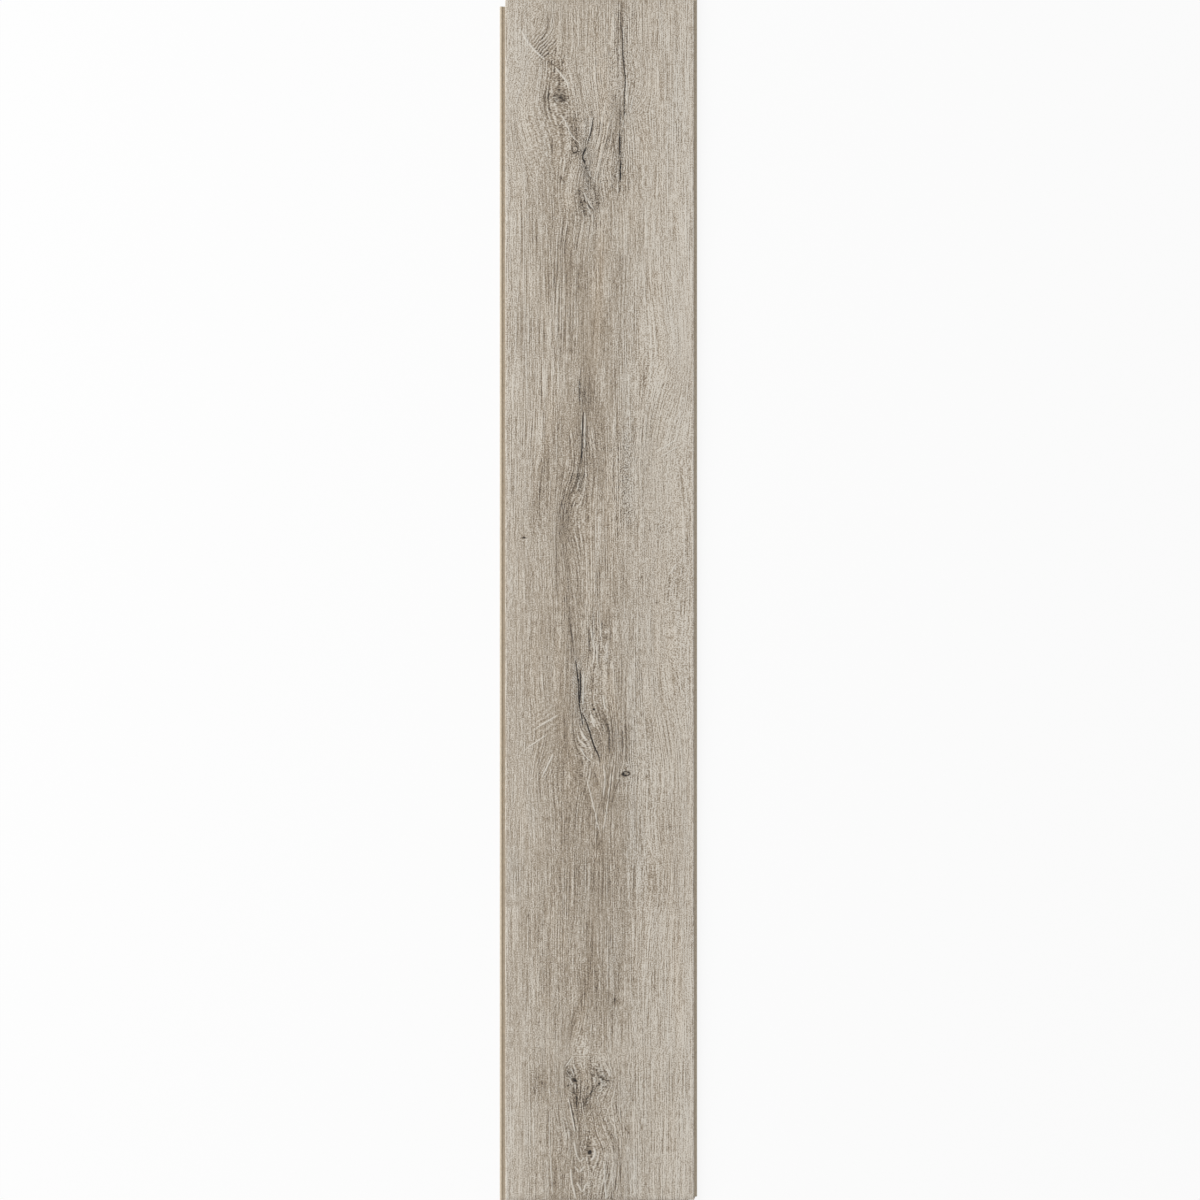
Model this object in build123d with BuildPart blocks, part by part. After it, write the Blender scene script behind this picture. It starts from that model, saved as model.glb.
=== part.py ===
from build123d import *
import os

# Laminate floor plank: one pressed board of fibreboard with a printed oak face, milled on all four
# sides with an angling click profile. Lengths are in millimetres. The plank lies flat with its face
# up. The origin is on the underside, below the centre of the face. Y runs along the plank. The
# tongues are on the +X side and the +Y end, the grooves with their locking lips on the -X side and
# the -Y end.

# Face and board
face_length = 1200.0
face_width = 189.0
thickness = 8.0
face_bevel = 0.5

# Lower lip, which reaches under the next plank, and the locking ridge on it
lip_reach = 5.6
lip_thickness = 2.0
lip_tip_height = 1.5
lock_start = 2.9
lock_height = 1.0
lock_face_run = 0.6
lock_back_run = 0.9
lock_radius = 0.25

# Tongue, and the heel where its underside slopes down to the board
tongue_reach = 3.0
tongue_thickness = 2.4
tongue_nose_radius = 0.9
heel_rise = 0.6
heel_run = 1.1

# Fit between a tongue side and the groove side that it locks into
fit_gap = 0.1
groove_end_gap = 0.4

tongue_floor = lip_thickness + heel_rise
tongue_top = tongue_floor + tongue_thickness
nose_radius = min(tongue_nose_radius, 0.4 * tongue_thickness)


def tongue_outline(joint, gap=0.0, end_gap=0.0):
    """The tongue that leaves the joint line in +X. With its gaps, it is the groove that takes it."""
    nose = joint + tongue_reach + end_gap
    with BuildSketch() as outline:
        with BuildLine():
            Polyline(
                (joint, tongue_top + gap),
                (nose, tongue_top + gap),
                (nose, tongue_floor - gap),
                (joint + heel_run, tongue_floor - gap),
                (joint, lip_thickness + fit_gap - gap),
                close=True,
            )
        make_face()
        fillet(outline.vertices().group_by(Axis.X)[-1], radius=nose_radius)
    return outline.sketch


def lip_outline(joint, gap=0.0):
    """The lip that leaves the joint line in -X, with its ridge. Grown by a gap, it is the seat."""
    lock_top = lip_thickness + lock_height
    with BuildSketch() as outline:
        with BuildLine():
            Polyline(
                (joint, 0),
                (joint, lip_thickness),
                (joint - lock_start, lip_thickness),
                (joint - lock_start - lock_face_run, lock_top),
                (joint - lip_reach + lock_back_run, lock_top),
                (joint - lip_reach, lip_tip_height),
                (joint - lip_reach, 0),
                close=True,
            )
        make_face()
        fillet(outline.vertices().group_by(Axis.Y)[-1], radius=lock_radius)
        if gap:
            offset(amount=gap, kind=Kind.INTERSECTION)
    return outline.sketch


def click_section(face_span):
    """Section of the board across two opposite edges: groove and lip at -X, tongue and seat at +X."""
    groove_side = -face_span / 2
    tongue_side = face_span / 2
    tongue = tongue_outline(tongue_side)
    groove = tongue_outline(groove_side, fit_gap, groove_end_gap)
    lip = lip_outline(groove_side)
    seat = lip_outline(tongue_side, fit_gap)
    with BuildSketch() as section:
        Rectangle(face_span, thickness, align=(Align.CENTER, Align.MIN))
        chamfer(section.vertices().group_by(Axis.Y)[-1], length=face_bevel)
        add(seat, mode=Mode.SUBTRACT)
        add(groove, mode=Mode.SUBTRACT)
        add(tongue)
        add(lip)
    return section.sketch


side_section = click_section(face_width)
end_section = click_section(face_length)

# Each section is milled through a blank that reaches past the lips. What is left at a corner is what
# both cutters leave standing.
blank_length = face_length + 2 * (lip_reach + tongue_reach)
blank_width = face_width + 2 * (lip_reach + tongue_reach)

# A lip stops where the seat of the tongue side next to it begins.
seat_reach = lip_reach + fit_gap
lip_end_cut = 2 * seat_reach

with BuildPart() as plank:
    with BuildSketch(Plane.XZ):
        add(side_section)
    extrude(amount=blank_length / 2, both=True)
    with BuildSketch(Plane.YZ):
        add(end_section)
    extrude(amount=blank_width / 2, both=True, mode=Mode.INTERSECT)
    with Locations((-face_width / 2, face_length / 2 - seat_reach, 0)):
        Box(
            lip_end_cut,
            lip_end_cut,
            thickness,
            align=(Align.MAX, Align.MIN, Align.MIN),
            mode=Mode.SUBTRACT,
        )
    with Locations((face_width / 2 - seat_reach, -face_length / 2, 0)):
        Box(
            lip_end_cut,
            lip_end_cut,
            thickness,
            align=(Align.MIN, Align.MAX, Align.MIN),
            mode=Mode.SUBTRACT,
        )

plank.part.label = "plank"

os.makedirs("parts", exist_ok=True)
export_step(plank.part, "parts/plank.step")
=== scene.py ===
import math

import bmesh
import bpy
import numpy as np
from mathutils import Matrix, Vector


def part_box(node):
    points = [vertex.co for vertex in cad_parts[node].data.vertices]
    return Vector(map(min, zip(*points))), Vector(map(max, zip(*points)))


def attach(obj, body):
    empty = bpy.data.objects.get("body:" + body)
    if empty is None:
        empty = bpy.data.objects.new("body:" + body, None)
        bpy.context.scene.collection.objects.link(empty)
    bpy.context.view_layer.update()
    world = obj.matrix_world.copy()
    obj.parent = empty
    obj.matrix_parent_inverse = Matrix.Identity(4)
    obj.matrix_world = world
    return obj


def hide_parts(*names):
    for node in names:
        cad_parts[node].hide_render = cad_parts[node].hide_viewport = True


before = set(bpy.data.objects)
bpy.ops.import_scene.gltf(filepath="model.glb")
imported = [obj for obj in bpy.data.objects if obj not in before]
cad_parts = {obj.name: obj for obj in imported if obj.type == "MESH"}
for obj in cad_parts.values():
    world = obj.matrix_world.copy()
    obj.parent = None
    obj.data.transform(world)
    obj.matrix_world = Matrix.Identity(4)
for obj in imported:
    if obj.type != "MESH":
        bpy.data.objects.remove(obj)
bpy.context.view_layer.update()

# A laminate floor plank, lying face up on a pale floor and seen from straight above. The scene is in
# metres, and the marks of the printed oak are placed in millimetres, as explained below.

MM = 0.001
plank_low, plank_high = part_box("plank")
face_top = plank_high.z

# The decorative face is 189 x 1200 mm, centred above the frame's origin, with a fine bevel all round.
FACE_WIDTH = 189.0
FACE_LENGTH = 1200.0
BEVEL = 0.5

# Marks are placed as (across, down) in millimetres of the photograph's square, which is as wide and
# high as the face is long. The face's left edge is 505.2 mm into it, and its far end is at 0 down.
PICTURE = 1200.0
LEFT_EDGE = 505.2
FACE_CENTRE = LEFT_EDGE + FACE_WIDTH / 2


# Grain, marks and tones of the print

# Knots push the fibres aside: (across, down), half-width, half-height, and how far they bulge, as a
# share of the way from the centre.
BULGES = [
    ((561, 98), 17, 26, 0.42),
    ((583, 738), 14, 26, 0.45),
    ((626, 773), 7, 9, 0.8),
    ((590, 1152), 11, 14, 0.8),
    ((572, 1078), 9, 16, 0.6),
    ((602, 1076), 10, 14, 0.6),
    ((577, 1046), 9, 22, 0.5),
    ((523, 538), 6, 7, 0.7),
]

# Bends carry the fibres sideways: (across, down), half-width, half-height, shift to the right.
BENDS = [
    ((528, 105), 26, 55, -11),
    ((577, 160), 20, 50, 9),
    ((534, 500), 14, 60, -5),
    ((566, 520), 14, 60, -7),
    ((608, 740), 16, 40, 7),
    ((575, 1000), 16, 60, -6),
    ((612, 1140), 14, 50, 6),
]

# Leans tilt the fibres: (across, down), half-width, half-height, slope to the right going down.
LEANS = [
    ((522, 92), 14, 34, -0.30),
    ((546, 30), 10, 30, -0.30),
    ((600, 145), 16, 38, -0.34),
    ((640, 96), 11, 28, -0.40),
    ((610, 97), 6, 12, 0.45),
    ((578, 203), 20, 26, 0.34),
    ((668, 410), 22, 75, -0.30),
    ((575, 492), 14, 40, -0.20),
    ((596, 440), 9, 40, 0.14),
    ((588, 738), 16, 45, 0.34),
    ((543, 755), 15, 38, -0.26),
    ((666, 720), 20, 120, 0.18),
    ((662, 850), 18, 50, 0.18),
    ((577, 1030), 14, 42, -0.30),
    ((600, 1092), 14, 16, -0.45),
    ((608, 1140), 14, 34, 0.26),
    ((570, 1118), 12, 34, 0.22),
]

# Broad and soft tones: points, half-width, depth in levels of 255. A negative one is lighter.
BROAD = [
    ([(604.6, 628), (604.8, 648)], 4, -10),
    ([(594, 622), (595, 660)], 4, -5),
    ([(583, 716), (588, 742)], 5, -12),
    ([(602, 795), (604, 830)], 4, 8),
    ([(547, 820), (548, 870)], 4, 7),
    ([(572, 910), (573, 950)], 5, 7),
    ([(656, 905), (657, 945)], 7, 6),
    ([(548, 258), (549, 282)], 5, -8),
    ([(538, 108), (540, 135)], 6, -6),
    ([(626, 112), (626, 140)], 3.6, 8),
    ([(632, 500), (632, 545)], 5, -6),
    ([(675, 205), (676, 245)], 8, -6),
    ([(551, 520), (552, 560)], 4, -8),
    ([(588, 402), (590, 440)], 4, 8),
    ([(602, 515), (602, 560)], 4, 8),
    ([(590, 1144), (590, 1160)], 6, -7),
    ([(627, 1172), (629, 1196)], 6, 8),
    ([(590, 1084), (591, 1098)], 5, -8),
    ([(650, 400), (655, 560)], 16, -2.5),
    ([(660, 1010), (660, 1160)], 18, -2),
    ([(600, 474), (601, 510), (602, 548)], 5, 9),
    ([(547, 26), (550, 64)], 4.5, -7),
    ([(613, 625), (615.6, 690)], 3.6, -9),
    ([(626, 1108), (628, 1142)], 5, 8),
    ([(582, 1046), (583, 1090)], 5, -7),
    ([(631, 306), (632, 334)], 4.5, -6),
    ([(569, 236), (569.6, 282)], 3.0, -9),
    ([(517, 132), (520, 166)], 7, 6),
    ([(580, -400), (580, 600), (580, 1600)], 50, 24),
    ([(582, -60), (580, 60)], 34, -9),
    ([(602, 60), (604, 240)], 14, -5),
    ([(605, 640), (607, 800), (604, 1000)], 18, 8),
    ([(560, 740), (560, 840)], 14, 7),
    ([(616, 800), (617, 900), (616, 1010)], 11, 8),
    ([(512, 520), (510, 900), (514, 1000)], 26, 4),
    ([(694, -200), (696, 600), (694, 1400)], 22, -6),
    ([(690, 100), (680, 260), (684, 340)], 22, -6),
    ([(650, 180), (655, 380)], 16, -4),
    ([(506, -60), (506, 180)], 18, -5),
    ([(520, 50), (532, 140)], 13, -6),
    ([(588, 40), (590, 120)], 9, -6),
    ([(655, -20), (655, 40)], 16, 5),
    ([(548, 200), (548, 285)], 17, 7),
    ([(549, 290), (549, 450)], 7, -5),
    ([(599, 290), (600, 400)], 7, -5),
    ([(545, 450), (545, 505)], 18, 7),
    ([(532, 590), (532, 730)], 15, 4),
    ([(630, 590), (630, 660)], 10, 5),
    ([(533, 775), (533, 825)], 10, -5),
    ([(670, 800), (668, 900)], 20, 5),
    ([(530, 870), (530, 975)], 11, 6),
    ([(576, 890), (578, 1000)], 10, -6),
    ([(604, 1000), (606, 1036)], 16, 8),
    ([(610, 1060), (600, 1300)], 60, -5),
    ([(576, 1095), (578, 1200)], 22, 9),
    ([(512, 1120), (512, 1240)], 22, -5),
    ([(690, 1010), (690, 1220)], 18, -4),
    ([(580, -10), (580, 28)], 26, -3),
    ([(595, 70), (595, 140)], 14, -3),
    ([(544, 64), (546, 88)], 11, 9),
    ([(539, 235), (539, 268)], 7, 2),
    ([(556, 385), (556, 430)], 5, 6),
    ([(571, 428), (570, 492)], 7, 8),
    ([(564, 528), (564, 600)], 5, 8),
    ([(600, 490), (600, 556)], 11, -8),
    ([(566, 690), (568, 756)], 11, 6),
    ([(612, 726), (612, 794)], 20, 5),
    ([(668, 806), (668, 876)], 16, 4),
    ([(609, 862), (609, 950)], 9, -6),
    ([(567, 1046), (566, 1148)], 8, -8),
    ([(546, 1070), (546, 1100)], 5, 6),
    ([(606, 1040), (606, 1066)], 8, -6),
    ([(590, 1118), (590, 1155)], 9, 6),
    ([(574, 786), (575, 950)], 13, 7),
]

# Dark and pale streaks along the fibres, which taper to their ends: points, half-width, depth in
# levels of 255. A negative one is lighter.
SHADES = [
    ([(583, 776), (592, 812), (600.6, 848)], 1.7, 10),
    ([(611, 778), (606, 812), (601.4, 848)], 1.7, 9),
    # The long check on the right of the far end
    ([(620, -8), (620.6, 50)], 3.6, 16),
    ([(618, 76), (617.4, 100), (620, 130), (620, 186)], 3.4, 20),
    ([(627, 96), (628, 150)], 4, 9),
    ([(622, -8), (623, 60), (624, 130)], 6, 7),
    ([(612, 129), (613.5, 143), (617, 156)], 2.4, 16),
    ([(620, 132), (620, 184)], 3.2, 22),
    ([(614, 94), (615, 112)], 3, 12),
    # The swirl knot, its ray, and what runs down from them
    ([(525, 35), (536, 48), (546, 60), (555, 66), (564, 73)], 2.8, 20),
    ([(536, 34), (548, 44), (560, 56)], 8, 8),
    ([(548, 10), (548, 24), (543, 36)], 2.2, 10),
    ([(545.5, 84), (543.6, 104), (547.5, 117), (553, 128)], 3.6, 13),
    ([(551.5, 92), (548, 101), (551, 110), (558, 113)], 2.6, 16),
    ([(559, 98), (566, 98)], 5.5, 16),
    ([(540, 44), (560, 66)], 8, 12),
    ([(553, 100), (567, 88)], 9, 10),
    ([(546, 110), (558, 128), (568, 146)], 8, 10),
    ([(566, 110), (573, 123), (583, 140)], 3.0, 12),
    ([(560, 116), (568, 130), (576, 144)], 2.4, 9),
    ([(551.5, 134), (552.6, 156)], 2.2, 16),
    ([(592, 124), (589, 136), (586, 146)], 2.4, 12),
    ([(571, 149), (578, 153), (584, 147)], 3, 14),
    ([(583, 150), (584, 162), (588, 176), (592, 184)], 4.2, 20),
    ([(579, 188), (582, 206), (588, 214)], 3.6, 18),
    ([(586, 203), (593, 210), (599, 207)], 2.6, 24),
    ([(597, 188), (600, 207)], 2.6, 20),
    ([(560, 176), (565, 186)], 2.8, 18),
    ([(600, 150), (597, 176)], 4, 8),
    # Below the knots
    ([(570, 232), (572, 278)], 7, 10),
    ([(566, 232), (567, 274)], 3.4, 14),
    ([(600, 240), (604, 400)], 16, 6),
    ([(556, 230), (550, 300)], 9, 5),
    ([(584, 262), (583, 350)], 3, 7),
    ([(586, 350), (586, 372), (586, 405)], 6, 16),
    ([(581, 380), (580, 410)], 5, 10),
    ([(594, 375), (596, 410)], 5, 10),
    # The dark streak in the middle of the length
    ([(586, 395), (585, 425), (587, 455)], 7, 26),
    ([(588, 450), (580, 472), (571, 492)], 7, 34),
    ([(573, 484), (566, 508), (564, 536)], 6.0, 34),
    ([(596, 400), (600, 440), (600, 485)], 5, 18),
    ([(587, 488), (588, 520)], 4.5, 15),
    ([(552, 420), (545, 462), (536, 500), (533, 526)], 3.6, 17),
    ([(540, 490), (537, 505), (541, 532)], 4.5, 14),
    ([(534, 533), (521, 539)], 3, 14),
    ([(566, 536), (568, 590), (569, 640), (571, 680)], 4.4, 19),
    ([(556.5, 510), (557, 600)], 1.8, 8),
    ([(579, 545), (580, 630)], 3, 9),
    ([(606, 480), (607, 580), (611, 620)], 4, 8),
    ([(594, 515), (595, 570)], 4, -8),
    ([(541, 580), (541, 640)], 4, 4),
    ([(615, 580), (620, 640)], 3, 8),
    ([(641, 577), (641, 579)], 2.4, 16),
    ([(657, 600), (657, 604)], 2.4, 16),
    ([(649, 518), (651, 534)], 2.4, 10),
    # The forked check at 700 down and its knot
    ([(574, 645), (577, 680), (580, 712)], 4, 14),
    ([(579, 664), (579, 708)], 2.6, 18),
    ([(581, 716), (590, 735), (598, 758)], 3.4, 18),
    ([(598, 708), (605, 722), (610, 738), (612, 752)], 4.2, 18),
    ([(620, 716), (624, 740), (625, 764)], 6.5, 24),
    ([(604, 742), (612, 752)], 5, 12),
    ([(600, 835), (601, 900)], 6, 9),
    ([(568, 700), (562, 735), (568, 764)], 13, 11),
    ([(541, 728), (543, 765), (541, 800)], 5, 9),
    ([(574, 758), (582, 781), (588, 802)], 3.2, 18),
    ([(592, 768), (598, 786), (604, 800)], 3.4, 12),
    ([(626, 774), (626, 774.6)], 4, 22),
    ([(619, 779), (612, 796), (606, 812)], 4, 13),
    ([(628, 785), (630, 812)], 3, 9),
    # The broad dark band after it
    ([(588, 795), (588, 838)], 4, 14),
    ([(593, 842), (593, 846)], 3.5, 20),
    ([(603, 845), (604, 905)], 9, 8),
    ([(624, 796), (624.6, 860), (624, 960)], 3.4, 15),
    ([(540, 845), (541, 870)], 5, 7),
    ([(560, 850), (563, 900)], 7, 5),
    ([(538, 885), (545, 905)], 8, 5),
    ([(588, 915), (592, 950), (591, 975)], 3.4, 16),
    ([(596, 908), (593, 945), (590, 970)], 3, 12),
    ([(591, 962), (585, 992), (577, 1014)], 4.6, 24),
    ([(577, 1012), (570, 1033), (567, 1047)], 3.6, 22),
    ([(584, 1016), (590, 1030), (589, 1044)], 3, 9),
    ([(615, 998), (615, 1005)], 2.8, 24),
    # Near end: knots and the arch
    ([(568, 1070), (574, 1080)], 4.5, 24),
    ([(575, 1084), (575.4, 1110)], 4.2, 34),
    ([(566, 1085), (568, 1090)], 2.6, 16),
    ([(596, 1071), (604, 1076), (598, 1084)], 5.5, 15),
    ([(599, 1084), (593, 1090), (588, 1098), (584.6, 1108)], 2.2, 26),
    ([(610, 1068), (611, 1082)], 2.4, 10),
    ([(588, 1088), (590, 1096), (583, 1104)], 4, 16),
    ([(577, 1100), (585, 1112), (600, 1106)], 8, 12),
    ([(541, 1068), (542, 1086), (541, 1096)], 5, 20),
    ([(533, 1078), (535, 1090)], 4, 10),
    ([(547, 1104), (549, 1150), (552, 1206)], 3.4, 10),
    ([(556, 1120), (557, 1206)], 4, 10),
    ([(577, 1118), (579, 1140), (583, 1160)], 5, 18),
    ([(604, 1112), (600, 1128)], 9, 8),
    ([(608, 1124), (616, 1143), (620, 1165), (621.5, 1206)], 2.6, 18),
    ([(589, 1143), (590, 1146)], 4, 14),
    ([(590, 1151), (590, 1153)], 2.8, 24),
    ([(580, 1177), (583, 1181)], 4.5, 20),
    ([(584, 1195), (592, 1206)], 8, 12),
    ([(624, 1127), (632, 1133)], 4, 14),
    ([(611, 1180), (612, 1206)], 3, 12),
    # Light patches
    ([(583, 226), (586, 236)], 4, -9),
    ([(579, 248), (577, 266)], 3.5, -10),
    ([(566, 188), (572, 210)], 4.5, -7),
    ([(520, 31), (531, 48), (538, 58)], 2.6, -16),
    ([(627, 60), (628, 112)], 2.4, -8),
    ([(600, 500), (602, 545)], 5, -6),
    ([(583, 505), (584, 540)], 3, -6),
    ([(588, 640), (596, 660)], 4, -6),
    ([(577, 725), (583, 740), (592, 753)], 5.5, -26),
    ([(590, 716), (598, 730)], 3, -9),
    ([(574, 1040), (583, 1048), (579, 1062)], 8, -17),
    ([(602, 1050), (598, 1064)], 6, -10),
    ([(627, 1038), (622, 1060)], 5, -6),
    ([(562, 1126), (566, 1140)], 5, -9),
    ([(560, 1040), (556, 1056)], 6, -6),
    ([(640, 465), (650, 480)], 12, -5),
    ([(636, 620), (634, 650)], 5, -6),
]

# Fine black checks: points and width. They are narrowest at their ends.
CHECKS = [
    (
        [(622, 22), (622.6, 38), (622.9, 54), (624.6, 72), (625.4, 80), (624.3, 97)]
        + [(624.3, 111), (623.6, 133)],
        1.0,
    ),
    ([(620.2, 133), (620, 148), (619.3, 157)], 1.3),
    ([(621.2, 161), (620.7, 168), (620.4, 183)], 0.9),
    ([(594.2, 116), (592.4, 124), (590.8, 133), (586.8, 146.4)], 0.9),
    ([(586.8, 146), (585, 150), (583.2, 154.6), (583, 158.6), (584.6, 162), (585.2, 165)], 1.4),
    ([(579.6, 376), (579.3, 390), (579.4, 403)], 0.6),
    ([(583.5, 409), (582.6, 428), (582.2, 448), (580.8, 466)], 0.9),
    ([(574.8, 658), (576.9, 669), (578.7, 685), (578.9, 704)], 0.9),
    ([(580, 667), (580.6, 680), (580.6, 692), (579.4, 705), (581.4, 712)], 1.2),
    ([(581.2, 711), (584.4, 717.5), (588.8, 728.8), (593.8, 745), (598.8, 756), (600, 764)], 1.2),
    ([(579.6, 707), (581.9, 717.5), (583.1, 727.5)], 0.8),
    ([(520.8, 538.6), (524, 537.4), (527.6, 538.2)], 1.3),
    ([(614.8, 999), (615.4, 1004)], 1.0),
]

# Fine brown lines and dots: points and width.
LINES = [
    ([(621.2, -6), (622.4, 18), (621.6, 36)], 1.3),
    ([(618.4, 28), (617.7, 67), (617, 90)], 0.9),
    ([(620, 107), (620.6, 124)], 1.2),
    ([(612, 129), (613.5, 143), (617, 156)], 0.9),
    ([(621, 184), (618.4, 194), (617, 204)], 1.0),
    ([(615.4, 93), (616, 100)], 1.3),
    ([(585, 472), (582, 482), (579, 492)], 1.2),
    ([(566, 492), (560.6, 506), (558.4, 520)], 1.1),
    ([(572, 486), (568, 500)], 1.0),
    ([(582.6, 714), (586, 711)], 1.1),
    ([(598.8, 709), (601.3, 722), (602.5, 735)], 0.9),
    ([(606.3, 720), (609.4, 731), (608.8, 745), (610, 755)], 1.0),
    ([(621.9, 726), (623.4, 750)], 1.1),
    ([(515.5, 903.5), (521, 907), (527, 909.6)], 1.1),
    ([(529, 913), (527.8, 917)], 2.2),
    ([(599.4, 841), (599.4, 847)], 2.0),
    ([(581.2, 1032), (582.4, 1034), (582, 1037)], 2.2),
    ([(657, 599.5), (657, 605)], 1.6),
    ([(641.5, 575), (641.5, 582)], 1.5),
    ([(649, 519), (650.4, 533)], 1.1),
    ([(546.4, 61), (551, 63), (560.6, 70), (563.8, 72.4)], 1.2),
    ([(565.2, 54), (562.4, 65)], 1.1),
    ([(556.4, 38), (552, 47), (545, 58)], 0.9),
    ([(547.6, 11), (548, 28), (543, 37), (538, 44.4)], 0.8),
    ([(550.8, 92), (546.6, 100), (548, 107), (555, 112)], 1.1),
    ([(556, 91), (553.6, 98), (557, 104)], 1.2),
    ([(545.4, 90), (543.8, 104), (547.4, 116.6), (553, 126.4)], 1.0),
    ([(566.4, 114), (571.4, 125.6), (579, 136)], 1.1),
    ([(561, 115), (567.4, 127), (573, 139), (581, 149)], 1.1),
    ([(551.7, 134.7), (552.4, 154.3)], 1.1),
    ([(557, 140), (554.6, 152)], 0.9),
    ([(560.2, 176.8), (564.4, 182)], 1.4),
    ([(592, 218), (596.4, 223)], 1.0),
    ([(584, 200), (591, 207.6), (597, 210)], 1.3),
    ([(598, 189.4), (599.4, 206.3)], 1.2),
    ([(604, 148), (600.4, 164), (599.6, 178)], 0.8),
    ([(610, 132), (604, 148)], 0.8),
    ([(594, 118), (597, 132)], 0.7),
    ([(573.6, 1086), (574.4, 1094)], 1.8),
    ([(576.6, 1095), (576.8, 1109)], 1.2),
    ([(571.1, 1056.4), (564.4, 1066.8)], 0.9),
    ([(569.4, 1097), (572.2, 1111), (574.4, 1122), (576.7, 1134)], 0.9),
    ([(599, 1083.6), (593.4, 1090), (587.8, 1098), (585, 1103.6), (584, 1111)], 1.1),
    ([(588.9, 1085), (586.4, 1090)], 1.4),
    ([(534, 1086), (535.4, 1096)], 1.2),
    ([(541, 1082), (543, 1085)], 1.6),
    ([(611, 1137), (616.7, 1143.6), (619.4, 1153), (620.6, 1173), (621.7, 1206)], 0.9),
    ([(615.4, 1176), (616, 1189)], 0.8),
    ([(606, 1158), (609, 1179)], 0.7),
    ([(616.8, 1102), (617, 1112)], 0.8),
    ([(625, 1128), (630, 1134)], 1.3),
    ([(611, 1180), (612.4, 1206)], 1.0),
    ([(593, 768), (599, 786)], 0.9),
    ([(621, 777), (617.4, 785), (615, 792)], 0.9),
    ([(538.9, 730), (539.4, 800)], 0.7),
    ([(569.4, 617), (571.9, 635), (574.4, 656)], 0.9),
    ([(608.8, 606), (610.6, 635), (608.8, 648)], 0.8),
    ([(601.9, 619), (601.9, 632)], 0.9),
    ([(588, 624), (589.4, 647), (592.5, 661)], 1.0),
    ([(595.6, 645), (596.3, 663)], 0.9),
    ([(603.8, 629), (603.4, 636)], 0.9),
    ([(556.6, 512), (556.4, 560), (557.4, 600)], 0.7),
]

# Small spots: centre, half-width, half-height, turn in degrees and ink.
SPOTS = [
    ((574.1, 1080), 2.1, 2.5, 20, -0.46),
    ((570.3, 1072.4), 1.8, 1.3, 10, -0.26),
    ((568, 1085.4), 1.6, 1.3, 0, -0.18),
    ((589.9, 1152.2), 1.8, 2.3, -20, -0.40),
    ((591.4, 1156.2), 0.9, 1.7, -10, -0.26),
    ((594.1, 709.2), 1.4, 1.0, 0, -0.42),
    ((620.6, 775.4), 2.2, 0.9, 30, -0.20),
    ((626.2, 773.8), 1.5, 0.8, 8, -0.16),
    ((562.8, 99.6), 2.6, 1.7, -20, -0.26),
    ((560.4, 96.4), 2.2, 1.2, 30, -0.18),
    ((565.4, 96.8), 1.2, 1.8, 20, -0.16),
    ((574.4, 153), 2.0, 0.9, 30, -0.24),
    ((586, 168), 0.9, 1.1, 0, -0.30),
    ((588.6, 170.6), 1.0, 0.9, 0, -0.24),
    ((587.2, 175), 0.9, 1.2, 20, -0.26),
    ((590.4, 178), 1.1, 1.8, 20, -0.24),
    ((593.2, 187), 1.1, 2.8, 15, -0.20),
    ((596, 197), 1.1, 2.6, 15, -0.18),
    ((598.4, 205), 1.0, 2.2, 15, -0.16),
    ((579.4, 192), 1.1, 4.0, 10, -0.22),
    ((581.6, 202.6), 1.2, 4.4, 14, -0.24),
    ((584.6, 212), 1.2, 3.0, 20, -0.20),
    ((562, 178), 2.2, 0.9, -30, -0.18),
    ((593.8, 1075.6), 1.4, 1.7, 0, -0.24),
    ((598.4, 1073.6), 1.5, 1.2, 0, -0.20),
    ((604.6, 1071.4), 1.4, 1.2, 0, -0.20),
    ((608.6, 1081), 1.6, 1.3, -30, -0.24),
    ((599.2, 1083.6), 1.2, 1.2, 0, -0.30),
    ((602.8, 1078.4), 1.3, 1.0, 0, -0.20),
    ((605.6, 632.6), 0.9, 2.0, 0, 0.22),
    ((605.8, 656), 1.0, 4.2, -12, 0.20),
    ((604.8, 648), 0.9, 3.0, -8, 0.17),
]

# Rings of knots: centre, half-width, half-height, turn in degrees, ink and width of the line.
RINGS = [
    ((626, 773.8), 3.4, 2.1, 8, -0.42, 1.3),
    ((569.6, 1071), 3.8, 4.4, 0, -0.16, 0.9),
    ((561.4, 98), 6.4, 5.6, 0, -0.07, 0.9),
    ((575.2, 149.4), 2.8, 3.2, 0, -0.20, 0.9),
    ((603, 1076.4), 7.6, 8.2, -20, 0.13, 1.0),
]

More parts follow.
